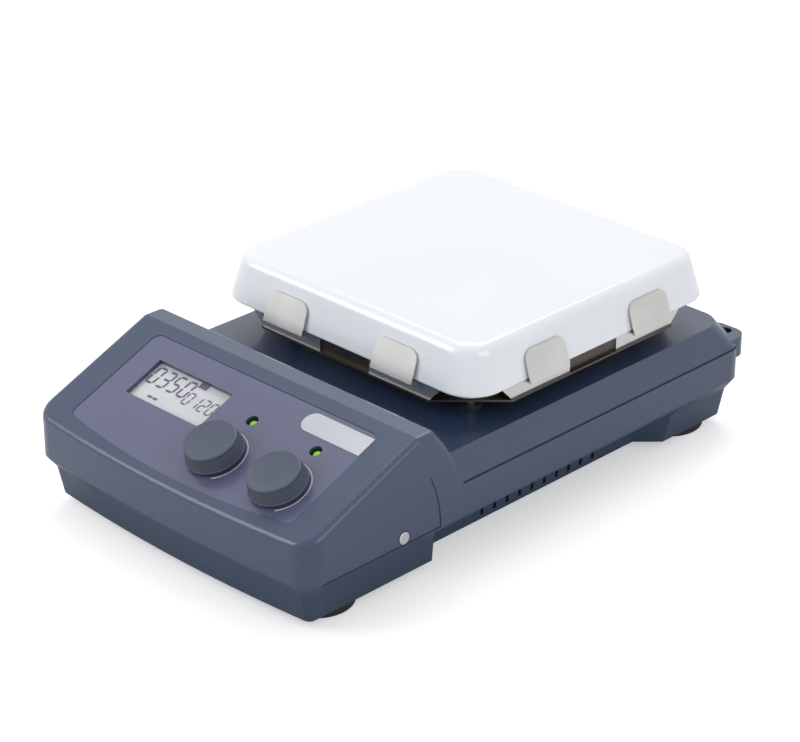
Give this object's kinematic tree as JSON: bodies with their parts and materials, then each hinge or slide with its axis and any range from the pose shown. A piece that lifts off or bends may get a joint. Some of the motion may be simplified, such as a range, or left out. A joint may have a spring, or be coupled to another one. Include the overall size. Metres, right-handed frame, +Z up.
{
  "type": "hotplate stirrer",
  "caption": "Square-top laboratory hotplate stirrer with sloping control console, two knobs, display and a rod lug at the rear.",
  "frame": {"origin": "on the table under the middle of the body, midway between the front of the bow and the rod lug's rear face", "axes": "+Z up, +Y towards the back, +X to the right seen from the front"},
  "size_m": [0.2152, 0.355, 0.1122],
  "materials": {
    "case_paint": "satin",
    "foot_rubber": "matt",
    "screw_steel": "satin",
    "membrane_film": "satin",
    "badge_silver": "satin",
    "window_clear": "clear",
    "display_face": "satin",
    "board_green": "satin",
    "lens_green": "gloss",
    "encoder_dark": "matt",
    "knob_grey": "satin",
    "machined_steel": "satin",
    "inner_plastic": "matt",
    "plate_enamel": "gloss",
    "heater_alloy": "matt",
    "element_steel": "satin",
    "insulation_board": "matt",
    "pan_steel": "satin",
    "clip_steel": "satin",
    "post_steel": "satin",
    "collar_dark": "satin",
    "motor_zinc": "satin",
    "core_iron": "matt",
    "yoke_alloy": "satin",
    "magnet_dark": "satin",
    "capacitor_sleeve": "gloss",
    "relay_case": "gloss",
    "sink_black": "matt",
    "rear_sheet": "satin",
    "fitting_black": "satin",
    "pin_brass": "satin",
    "fuse_glass": "clear",
    "rocker_black": "gloss",
    "port_shell": "satin"
  },
  "bodies": {
    "base": {"top_housing": "case_paint", "base_tray": "case_paint", "rubber_feet": "foot_rubber", "foot_screws": "screw_steel", "case_screws": "screw_steel", "side_screws": "screw_steel", "membrane": "membrane_film", "badge_plate": "badge_silver", "display_window": "window_clear", "display_module": "display_face", "display_board": "board_green", "display_screws": "screw_steel", "stir_lens": "lens_green", "heat_lens": "lens_green", "stir_encoder": "encoder_dark", "heat_encoder": "encoder_dark", "knob_nuts": "screw_steel", "plate_cover": "plate_enamel", "heater_plate": "heater_alloy", "heating_element": "element_steel", "insulation_pad": "insulation_board", "temperature_sensor": "machined_steel", "plate_pan": "pan_steel", "plate_clips": "clip_steel", "plate_posts": "post_steel", "post_collars": "collar_dark", "post_nuts": "screw_steel", "motor_standoffs": "machined_steel", "motor_plate": "motor_zinc", "motor_can": "motor_zinc", "motor_bearings": "machined_steel", "stator_core": "core_iron", "main_board": "board_green", "board_posts": "inner_plastic", "capacitors": "capacitor_sleeve", "relay": "relay_case", "heat_sink": "sink_black", "transformer": "core_iron", "rear_panel": "rear_sheet", "panel_screws": "screw_steel", "power_inlet": "fitting_black", "inlet_pins": "pin_brass", "switch_body": "fitting_black", "serial_port": "port_shell", "probe_socket": "fitting_black"},
    "stir_push": {"stir_plunger": "inner_plastic"},
    "stir_turn": {"stir_knob": "knob_grey", "stir_shaft": "machined_steel"},
    "heat_push": {"heat_plunger": "inner_plastic"},
    "heat_turn": {"heat_knob": "knob_grey", "heat_shaft": "machined_steel"},
    "drive": {"motor_rotor": "core_iron", "drive_shaft": "machined_steel", "magnet_yoke": "yoke_alloy", "drive_magnets": "magnet_dark"},
    "power_rocker": {"rocker": "rocker_black"},
    "fuse_carrier": {"fuse_drawer": "fitting_black", "fuse": "fuse_glass"}
  },
  "joints": [
    {"name": "stir_push", "type": "slide", "parent": "base", "child": "stir_push", "axis": [0, 0.3774, -0.9261], "range_m": [0, 0.0008], "stiffness_N_per_m": 1500, "springref_m": -0.001},
    {"name": "stir_turn", "type": "hinge", "parent": "stir_push", "child": "stir_turn", "pos_m": [0.062, -0.1491, 0.06455], "axis": [0, -0.3774, 0.9261], "continuous": true},
    {"name": "heat_push", "type": "slide", "parent": "base", "child": "heat_push", "axis": [0, 0.3774, -0.9261], "range_m": [0, 0.0008], "stiffness_N_per_m": 1500, "springref_m": -0.001},
    {"name": "heat_turn", "type": "hinge", "parent": "heat_push", "child": "heat_turn", "pos_m": [0.014, -0.1491, 0.06455], "axis": [0, -0.3774, 0.9261], "continuous": true},
    {"name": "drive_spin", "type": "hinge", "parent": "base", "child": "drive", "pos_m": [0, 0.0525, 0.08], "axis": [0, 0, 1], "continuous": true},
    {"name": "power_rock", "type": "hinge", "parent": "base", "child": "power_rocker", "pos_m": [0.011, 0.1605, 0.028], "axis": [0, 0, 1], "range_deg": [0, 20]},
    {"name": "fuse_slide", "type": "slide", "parent": "base", "child": "fuse_carrier", "axis": [0, 1, 0], "range_m": [0, 0.014]}
  ]
}
